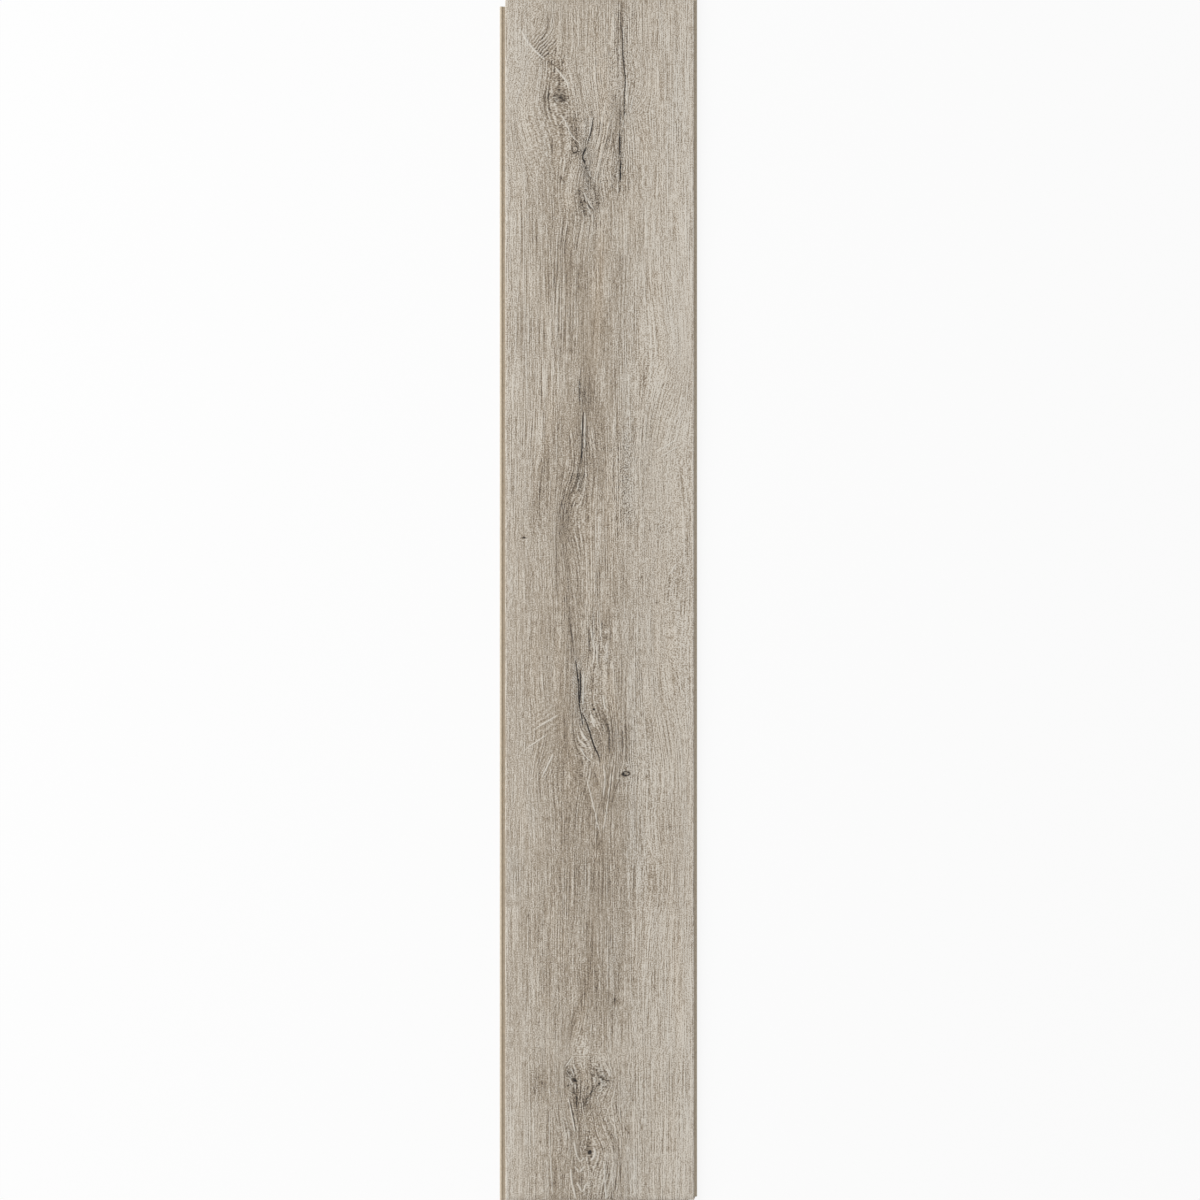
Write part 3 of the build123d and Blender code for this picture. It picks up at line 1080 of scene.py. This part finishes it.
def relief(places, fields):
    """How deep the print is pressed in at each place, in millimetres."""
    across, along = fields["fibres"][:, 0], fields["fibres"][:, 1]
    wave = 0.5 + 0.25 * np.sin(across / 2.9) + 0.25 * np.sin(across / 4.7 + along / 90)
    groove = np.maximum(sharp_strokes(places, CHECKS), fields["line"] - SHALLOWER)
    depth = WAVE_DEPTH * wave
    depth += SHADE_DEPTH * np.clip(fields["shade"] / DEEP_SHADE, 0, 1)
    depth += CHECK_DEPTH * np.clip((groove - CHECK_RIM) / (CHECK_FLOOR - CHECK_RIM), 0, 1)
    inset = np.minimum(places[:, 0] - LEFT_EDGE, LEFT_EDGE + FACE_WIDTH - places[:, 0])
    inset = np.minimum(inset, np.minimum(places[:, 1], FACE_LENGTH - places[:, 1])) - BEVEL
    return depth * np.clip(inset / EDGE_FADE, 0, 1)


def print_the_oak(data):
    """Writes the print's fields to the mesh, and presses its relief into the face."""
    points, places = vertex_places(data)
    fields = print_fields(places)
    for name, values in fields.items():
        store(data, name, values)
    top = points[:, 2] > face_top - SAME
    points[:, 2] -= np.where(top, MM * relief(places, fields), 0)
    data.vertices.foreach_set("co", points.ravel())


# Materials


def linear(red, green, blue):
    """A colour as a screen shows it, 0 to 255, in the linear values that a shader takes."""
    share = [c / 255 for c in (red, green, blue)]
    return [c / 12.92 if c <= 0.04045 else ((c + 0.055) / 1.055) ** 2.4 for c in share] + [1.0]


TURN = 2 * math.pi

# The soft edges of marks run from outside to inside by so much: of a line in millimetres, and of a spot
# and a ring in shares of their own size.
LINE_EDGE = (-0.35, 0.25)
SPOT_EDGE = (-0.25, 0.25)
RING_EDGE = (-0.10, 0.10)

# What one level of warmth adds to red, green and blue, as shares of each
ONE_WARMER = (0.0062, 0.0, -0.0075)


class Shader:
    """A material and short ways to add nodes to it. Each returns the new node's output."""

    def __init__(self, name):
        self.material = bpy.data.materials.new(name)
        self.material.use_nodes = True
        self.tree = self.material.node_tree
        self.principled = self.tree.nodes["Principled BSDF"]

    def join(self, source, socket):
        if isinstance(source, bpy.types.NodeSocket):
            self.tree.links.new(source, socket)
        else:
            socket.default_value = source

    def math(self, operation, *values):
        node = self.tree.nodes.new("ShaderNodeMath")
        node.operation = operation
        for value, socket in zip(values, node.inputs):
            self.join(value, socket)
        return node.outputs[0]

    def add(self, *terms):
        total = terms[0]
        for term in terms[1:]:
            total = self.math("ADD", total, term)
        return total

    def times(self, first, second):
        return self.math("MULTIPLY", first, second)

    def scaled(self, value, slope, start):
        """The value times the slope, plus the start."""
        return self.math("MULTIPLY_ADD", value, slope, start)

    def between(self, value, low, high):
        """0 below low, 1 above high, with a smooth step."""
        node = self.tree.nodes.new("ShaderNodeMapRange")
        node.interpolation_type = "SMOOTHSTEP"
        self.join(value, node.inputs["Value"])
        node.inputs["From Min"].default_value = low
        node.inputs["From Max"].default_value = high
        return node.outputs["Result"]

    def attribute(self, name, output="Fac"):
        node = self.tree.nodes.new("ShaderNodeAttribute")
        node.attribute_name = name
        return node.outputs[output]

    def noise(self, vector, cell, detail, offset, distortion=0.0):
        """Noise about 0, with cells of the given size in millimetres, taken from its own place."""
        scaled = self.tree.nodes.new("ShaderNodeMapping")
        self.join(vector, scaled.inputs["Vector"])
        scaled.inputs["Location"].default_value = (offset, offset * 1.7, round(offset))
        scaled.inputs["Scale"].default_value = [1 / size for size in cell]
        node = self.tree.nodes.new("ShaderNodeTexNoise")
        self.tree.links.new(scaled.outputs[0], node.inputs["Vector"])
        for name, value in (("Scale", 1.0), ("Detail", detail), ("Distortion", distortion)):
            node.inputs[name].default_value = value
        return self.math("SUBTRACT", node.outputs[0], 0.5)

    def split(self, vector):
        """The three parts of a vector."""
        node = self.tree.nodes.new("ShaderNodeSeparateXYZ")
        self.tree.links.new(vector, node.inputs[0])
        return node.outputs

    def crisp_line(self, layer, waver):
        """The ink of one layer's lines. waver is how far their edges stray, in millimetres."""
        offset, half_width, ink = self.split(self.attribute(layer, "Vector"))
        distance = self.math("ABSOLUTE", self.add(offset, waver))
        inside = self.math("SUBTRACT", half_width, distance)
        return self.times(self.between(inside, *LINE_EDGE), ink)

    def spots(self, layer, waver):
        """The ink of one layer's spots."""
        local = self.attribute(layer, "Vector")
        inside = self.math("SUBTRACT", self.add(waver, 1.0), self.reach(local))
        return self.times(self.between(inside, *SPOT_EDGE), self.split(local)[2])

    def rings(self, layer, width, waver):
        """The ink of rings. width names the field of half their line's width, as a share of the ring."""
        local = self.attribute(layer, "Vector")
        off = self.math("ABSOLUTE", self.math("SUBTRACT", self.reach(local), self.add(waver, 1.0)))
        inside = self.math("SUBTRACT", self.attribute(width), off)
        return self.times(self.between(inside, *RING_EDGE), self.split(local)[2])

    def reach(self, local):
        """How far the first two parts of a vector reach."""
        node = self.tree.nodes.new("ShaderNodeVectorMath")
        node.operation = "LENGTH"
        self.join(self.vectors("MULTIPLY", local, (1, 1, 0)), node.inputs[0])
        return node.outputs["Value"]

    def sum_of(self, start, parts, shares):
        """The start plus a share of each named part."""
        total = start
        for name, share in shares.items():
            total = self.scaled(parts[name], share, total)
        return total

    def waves(self, vector, spacing, cell, turns, offset):
        """Lines along the fibres, from -1 to 1, that wander by some turns and come and go."""
        across = self.split(vector)[0]
        wander = self.times(self.noise(vector, cell, 1.0, offset), TURN * turns)
        strength = self.between(self.noise(vector, cell, 0.0, offset + 10), -0.2, 0.2)
        return self.times(self.math("SINE", self.scaled(across, TURN / spacing, wander)), strength)

    def ramp(self, value, stops):
        node = self.tree.nodes.new("ShaderNodeValToRGB")
        self.join(value, node.inputs["Fac"])
        elements = node.color_ramp.elements
        while len(elements) < len(stops):
            elements.new(0.5)
        for element, (position, colour) in zip(elements, stops):
            element.position = position
            element.color = colour
        return node.outputs["Color"]

    def warm(self, colour, levels):
        """The colour with red raised and blue lowered by so many levels of 255 between the two."""
        change = self.tree.nodes.new("ShaderNodeVectorMath")
        change.operation = "MULTIPLY_ADD"
        self.join(levels, change.inputs[0])
        change.inputs[1].default_value = ONE_WARMER
        change.inputs[2].default_value = (1, 1, 1)
        return self.vectors("MULTIPLY", colour, change.outputs[0])

    def vectors(self, operation, first, second):
        node = self.tree.nodes.new("ShaderNodeVectorMath")
        node.operation = operation
        self.join(first, node.inputs[0])
        self.join(second, node.inputs[1])
        return node.outputs[0]

    def millimetres(self):
        """The object's coordinates in millimetres."""
        coordinates = self.tree.nodes.new("ShaderNodeTexCoord")
        scaled = self.tree.nodes.new("ShaderNodeVectorMath")
        scaled.operation = "SCALE"
        self.tree.links.new(coordinates.outputs["Object"], scaled.inputs[0])
        scaled.inputs["Scale"].default_value = 1 / MM
        return scaled.outputs[0]

    def finish(self, colour, roughness, height, specular):
        """The material with these, its height in millimetres."""
        self.join(colour, self.principled.inputs["Base Color"])
        self.join(roughness, self.principled.inputs["Roughness"])
        self.principled.inputs["Specular IOR Level"].default_value = specular
        bump = self.tree.nodes.new("ShaderNodeBump")
        bump.inputs["Distance"].default_value = MM
        self.join(height, bump.inputs["Height"])
        self.tree.links.new(bump.outputs["Normal"], self.principled.inputs["Normal"])
        return self.material


# The oak's colour at each tone, from 0 for black to 1 for white, as the screen shows them.
OAK_COLOURS = [
    (0.10, linear(29, 27, 26)),
    (0.27, linear(80, 71, 62)),
    (0.415, linear(119.6, 107, 92.4)),
    (0.557, linear(157, 142.7, 124.2)),
    (0.651, linear(178.4, 165.4, 148.4)),
    (0.745, linear(198.8, 188.4, 173.8)),
    (0.84, linear(222, 214.6, 202.4)),
]
BASE_TONE = 190.4 / 255
LEVEL = 1 / 255

# Noises of the grain: the cell's size across and along the fibres in millimetres, the detail, and the
# place that the noise is taken from, which keeps them apart
NOISES = {
    "clouds": (26.0, 200.0, 1.0, 5.7),
    "streaks": (8.0, 220.0, 1.0, 3.1),
    "lines": (3.0, 150.0, 1.0, 7.7),
    "threads": (1.8, 60.0, 0.0, 11.3),
    "hairs": (1.2, 50.0, 0.0, 41.1),
    "dashes": (1.1, 7.0, 0.0, 17.9),
    "grit": (1.05, 1.15, 0.0, 23.3),
    "pebbles": (1.7, 2.4, 0.0, 29.9),
    "pores": (1.5, 8.5, 0.0, 31.9),
    "swell": (6.0, 9.0, 0.0, 71.9),
}

# Waves of the grain: spacing, the cell's size, how many turns they wander by, and their place
HAIR_WAVES = (2.5, (8.0, 150.0, 1), 5.0, 43.3)
RING_WAVES = (4.4, (22.0, 170.0, 1), 6.7, 51.3)

# What each part adds to the tone, where 1 is white
TONES = {
    "clouds": 0.04,
    "streaks": 0.05,
    "lines": 0.055,
    "threads": 0.045,
    "year rings": 0.010,
    "ripples": 0.075,
    "fine": 0.45,
    "pores": -0.06,
    "check": -0.40,
    "line": -0.22,
    "ray": 0.15,
}

# What each part adds to the height, in millimetres
HEIGHTS = {
    "strands": 0.30,
    "grit": 0.24,
    "marks": 0.7,
    "threads": 0.06,
    "lines": 0.03,
    "year rings": 0.010,
    "ripples": 0.09,
    "pores": -0.05,
    "check": -0.25,
    "line": -0.12,
    "ray": 0.12,
}

# How far each part makes the edges of the marks stray: of crisp ones in millimetres, and of the sharp
# fields in the fields' own units
STRAY = {"threads": 0.6, "dashes": 0.8, "grit": 0.9}
SHARP_STRAY = {"grit": 0.10, "threads": 0.10}

# Where the sharp fields' soft edges begin and end
SHARP_EDGES = {"check": (0.46, 0.54), "line": (0.46, 0.55), "ray": (0.46, 0.55)}

# Curls follow two level lines of a swirling noise: the dark one's ink and the pale one's, half the
# width of each, its soft edge, and how far apart the two levels are
CURL_INKS = (-0.26, 0.20)
CURL_WIDTH = 0.028
CURL_EDGE = (-0.02, 0.02)
CURL_GAP = 0.07


def add_grain(s, fibres, parts, rippled):
    """Adds the parts of the fine grain, which changes from zone to zone."""
    pebble, even, lively = s.split(s.attribute("zones", "Vector"))
    for name, (across, along, detail, offset) in NOISES.items():
        parts[name] = s.noise(fibres, (across, along, 1), detail, offset)
    parts["pores"] = s.between(parts["pores"], 0.14, 0.26)
    parts["year rings"] = s.waves(fibres, *RING_WAVES)
    hairs = s.add(s.times(parts["hairs"], 0.8), s.times(s.waves(fibres, *HAIR_WAVES), 0.16))
    hairs = s.times(hairs, s.scaled(even, 0.55, 1.05))
    parts["dashes"] = s.times(parts["dashes"], s.scaled(even, -0.1, 0.78))
    straight = s.scaled(s.math("MAXIMUM", pebble, rippled), -0.4, 1.0)
    strands = s.add(s.times(s.add(hairs, parts["dashes"]), straight), s.times(parts["pebbles"], pebble))
    livelier = s.scaled(lively, 0.55, 1.0)
    parts["strands"] = s.times(strands, livelier)
    parts["grit"] = s.times(parts["grit"], livelier)
    parts["fine"] = s.add(parts["strands"], s.times(parts["grit"], 1.4))


def curls(s, fibres):
    """Dark and pale curls, to be used round knots only."""
    curl = s.noise(fibres, (3.4, 3.0, 1), 1.0, 83.1, distortion=0.8)
    inks = []
    for ink, level in zip(CURL_INKS, (0.0, CURL_GAP)):
        off = s.math("ABSOLUTE", s.add(curl, level))
        inks.append(s.times(s.between(s.math("SUBTRACT", CURL_WIDTH, off), *CURL_EDGE), ink))
    return s.add(*inks)


def add_marks(s, fibres, parts, curled):
    """Adds the crisp lines, spots, rings and curls, and the strokes that only the mesh carries."""
    waver = s.sum_of(0.0, parts, STRAY)
    marks = 0.0
    for number in range(LINE_LAYERS):
        marks = s.add(marks, s.crisp_line(f"layer_{number}", waver))
    for number in range(SPOT_LAYERS):
        marks = s.add(marks, s.spots(f"spots_{number}", waver))
    marks = s.add(marks, s.rings("rings", "ring_width", s.times(waver, 0.7)))
    marks = s.add(marks, s.times(curls(s, fibres), curled))
    parts["marks"] = s.times(marks, s.scaled(parts["dashes"], 1.5, 1.0))
    uneven = s.sum_of(0.0, parts, SHARP_STRAY)
    for name, edge in SHARP_EDGES.items():
        parts[name] = s.between(s.add(s.attribute(name), uneven), *edge)


def oak_print():
    """The printed and embossed oak."""
    s = Shader("oak_print")
    parts = {}
    fibres = s.attribute("fibres", "Vector")
    ripple, rippled, curled = s.split(s.attribute("ripples", "Vector"))
    add_grain(s, fibres, parts, rippled)
    add_marks(s, fibres, parts, curled)
    swell = s.add(s.times(parts["swell"], 6.0), s.times(parts["grit"], 1.6))
    parts["ripples"] = s.times(s.math("SINE", s.scaled(ripple, TURN, swell)), rippled)

    shade = s.times(s.attribute("shade"), s.scaled(parts["lines"], 2.4, 1.0))
    shade = s.times(shade, s.scaled(parts["threads"], 2.0, 1.0))
    depth = s.times(s.add(s.attribute("broad"), shade), -LEVEL)
    tone = s.sum_of(s.add(BASE_TONE, depth, parts["marks"]), parts, TONES)
    colour = s.ramp(tone, OAK_COLOURS)
    hues = s.noise(fibres, (10.0, 100.0, 1), 1.0, 93.7)
    colour = s.warm(colour, s.add(s.attribute("warmth"), s.times(hues, 5.0)))
    height = s.sum_of(0.0, parts, HEIGHTS)
    return s.finish(colour, s.scaled(parts["fine"], 0.3, 0.52), height, 0.35)


FIBREBOARD_COLOURS = [
    (0.2, linear(178, 163, 141)),
    (0.5, linear(205, 192, 172)),
    (0.8, linear(218, 207, 190)),
]


def fibreboard():
    """The milled edges of the board: pressed wood fibre with specks and flakes."""
    s = Shader("fibreboard")
    place = s.millimetres()
    specks = s.noise(place, (0.5, 0.5, 0.35), 2.0, 1.3)
    flakes = s.noise(place, (3.0, 3.0, 0.8), 2.0, 4.9)
    tone = s.add(0.5, s.times(specks, 0.9), s.times(flakes, 0.5))
    height = s.add(s.times(specks, 0.06), s.times(flakes, 0.03))
    return s.finish(s.ramp(tone, FIBREBOARD_COLOURS), 0.85, height, 0.2)


PAPER_COLOURS = [
    (0.25, linear(188, 178, 158)),
    (0.5, linear(200, 191, 172)),
    (0.75, linear(210, 202, 185)),
]


def backing_paper():
    """The balancing paper on the underside."""
    s = Shader("backing_paper")
    place = s.millimetres()
    mottle = s.noise(place, (6.0, 9.0, 1), 3.0, 2.2)
    fibres = s.noise(place, (0.5, 2.2, 1), 1.0, 8.4)
    tone = s.add(0.5, s.times(mottle, 0.5), s.times(fibres, 0.5))
    return s.finish(s.ramp(tone, PAPER_COLOURS), 0.7, s.times(fibres, 0.02), 0.3)


# The print covers the face and its bevels, and the paper what lies on the floor. Between them the
# board shows. A face looks up from one Z of its normal on, and down below the other.
PRINT, BOARD, PAPER = range(3)
UPWARD = 0.3
DOWNWARD = -0.9
PRINT_EDGE = face_top - (BEVEL + 0.02) * MM
PAPER_EDGE = plank_low.z + 0.01 * MM
SHARPEST_SMOOTH = math.radians(30)


def material_of(face):
    if face.center.z > PRINT_EDGE and face.normal.z > UPWARD:
        return PRINT
    if face.center.z < PAPER_EDGE and face.normal.z < DOWNWARD:
        return PAPER
    return BOARD


def make_plank():
    data = build_plank_mesh()
    print_the_oak(data)
    for material in (oak_print(), fibreboard(), backing_paper()):
        data.materials.append(material)
    for face in data.polygons:
        face.material_index = material_of(face)
    data.set_sharp_from_angle(angle=SHARPEST_SMOOTH)
    piece = bpy.data.objects.new("plank_laminate", data)
    bpy.context.scene.collection.objects.link(piece)
    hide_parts("plank")
    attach(piece, "root")


# Stage. Sizes are in metres, except the floor's gap below the plank and the camera's sensor, which are
# in millimetres.

FLOOR_SIZE = 14.0
FLOOR_WHITE = 0.88
FLOOR_GAP = 0.05
WORLD_LIGHT = 0.52
LAMP_PLACE = (-3.2, 0.6, 2.0)
LAMP_SIZE = (1.2, 3.0)
LAMP_WATTS = 110
CAMERA_HEIGHT = 4.0
SENSOR = 36.0


def seen(tree, other_ray):
    """1 where a ray of the camera, or of the other kind, meets the floor or the world. Else 0."""
    path = tree.nodes.new("ShaderNodeLightPath")
    either = tree.nodes.new("ShaderNodeMath")
    either.operation = "MAXIMUM"
    tree.links.new(path.outputs["Is Camera Ray"], either.inputs[0])
    tree.links.new(path.outputs[other_ray], either.inputs[1])
    return either.outputs[0]


def blend(tree, share, first, second, output):
    """Blends two shaders into an output's surface. share is the second one's."""
    mix = tree.nodes.new("ShaderNodeMixShader")
    tree.links.new(share, mix.inputs[0])
    tree.links.new(first.outputs[0], mix.inputs[1])
    tree.links.new(second.outputs[0], mix.inputs[2])
    tree.links.new(mix.outputs[0], tree.nodes[output].inputs["Surface"])


def make_floor():
    """A white floor that takes the plank's shadow. The camera sees it near white."""
    half = FLOOR_SIZE / 2
    z = plank_low.z - FLOOR_GAP * MM
    corners = [(x * half, y * half, z) for x, y in ((-1, -1), (1, -1), (1, 1), (-1, 1))]
    data = bpy.data.meshes.new("floor")
    data.from_pydata(corners, [], [(0, 1, 2, 3)])
    floor = bpy.data.objects.new("floor", data)
    bpy.context.scene.collection.objects.link(floor)

    material = bpy.data.materials.new("floor_white")
    material.use_nodes = True
    tree = material.node_tree
    diffuse = tree.nodes["Principled BSDF"]
    diffuse.inputs["Base Color"].default_value = (FLOOR_WHITE, FLOOR_WHITE, FLOOR_WHITE, 1)
    diffuse.inputs["Roughness"].default_value = 0.9
    diffuse.inputs["Specular IOR Level"].default_value = 0.0
    glow = tree.nodes.new("ShaderNodeEmission")
    share = tree.nodes.new("ShaderNodeMath")
    share.operation = "MULTIPLY"
    share.inputs[1].default_value = FLOOR_WHITE
    tree.links.new(seen(tree, "Is Glossy Ray"), share.inputs[0])
    blend(tree, share.outputs[0], diffuse, glow, "Material Output")
    data.materials.append(material)


def make_world():
    """White surroundings, which light the plank softly and look white themselves."""
    world = bpy.data.worlds.new("studio")
    bpy.context.scene.world = world
    world.use_nodes = True
    tree = world.node_tree
    background = tree.nodes["Background"]
    backdrop = tree.nodes.new("ShaderNodeBackground")
    for node, strength in ((background, WORLD_LIGHT), (backdrop, 1.0)):
        node.inputs["Color"].default_value = (1, 1, 1, 1)
        node.inputs["Strength"].default_value = strength
    blend(tree, seen(tree, "Is Transmission Ray"), background, backdrop, "World Output")


def make_lamp():
    """A long soft lamp low on the left, aimed at the plank, that brings out the emboss."""
    light = bpy.data.lights.new("side_lamp", "AREA")
    light.shape = "RECTANGLE"
    light.size, light.size_y = LAMP_SIZE
    light.energy = LAMP_WATTS
    lamp = bpy.data.objects.new("side_lamp", light)
    lamp.location = LAMP_PLACE
    lamp.rotation_euler = (-Vector(LAMP_PLACE)).to_track_quat("-Z", "Y").to_euler()
    bpy.context.scene.collection.objects.link(lamp)


def make_camera():
    """Straight above the middle of the photograph's square, whose height it fills, and far off."""
    data = bpy.data.cameras.new("camera")
    data.sensor_width = SENSOR
    data.lens = SENSOR * CAMERA_HEIGHT / (PICTURE * MM)
    camera = bpy.data.objects.new("camera", data)
    off_centre = (PICTURE / 2 - FACE_CENTRE) * MM
    camera.location = (off_centre, 0, face_top + CAMERA_HEIGHT)
    bpy.context.scene.collection.objects.link(camera)
    bpy.context.scene.camera = camera


make_plank()
make_floor()
make_world()
make_lamp()
make_camera()
bpy.context.scene.view_settings.view_transform = "Standard"
